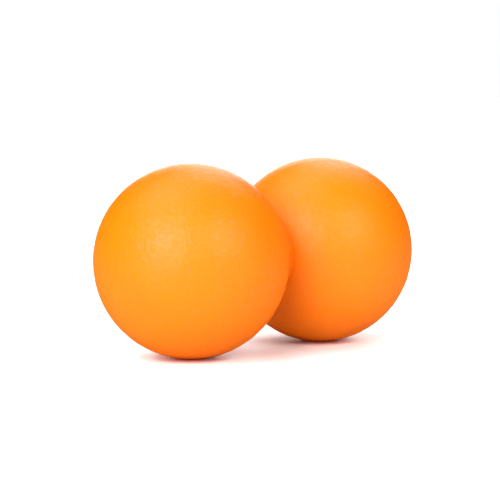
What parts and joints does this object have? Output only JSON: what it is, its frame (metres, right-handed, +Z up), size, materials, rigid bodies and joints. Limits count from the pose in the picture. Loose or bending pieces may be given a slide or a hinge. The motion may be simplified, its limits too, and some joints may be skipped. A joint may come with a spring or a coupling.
{
  "type": "peanut massage ball",
  "caption": "Peanut-shaped massage ball: solid grained rubber balls bonded end to end at a narrow filleted waist, rolled under the back or neck.",
  "frame": {"origin": "on the plane that the balls rest on, midway between the two balls", "axes": "+X along the two balls from front to rear, +Y across, +Z up"},
  "size_m": [0.124, 0.063, 0.0628],
  "materials": {
    "ball_rubber": "satin moulded orange rubber with a fine leather-like grain",
    "bead_rubber": "satin orange rubber, smoother than the balls",
    "bonding_gum": "dull cured gum, hidden inside the waist"
  },
  "bodies": {
    "root": {"front_ball": "ball_rubber", "rear_ball": "ball_rubber", "waist_bead": "bead_rubber", "bond_disc": "bonding_gum"}
  },
  "joints": []
}
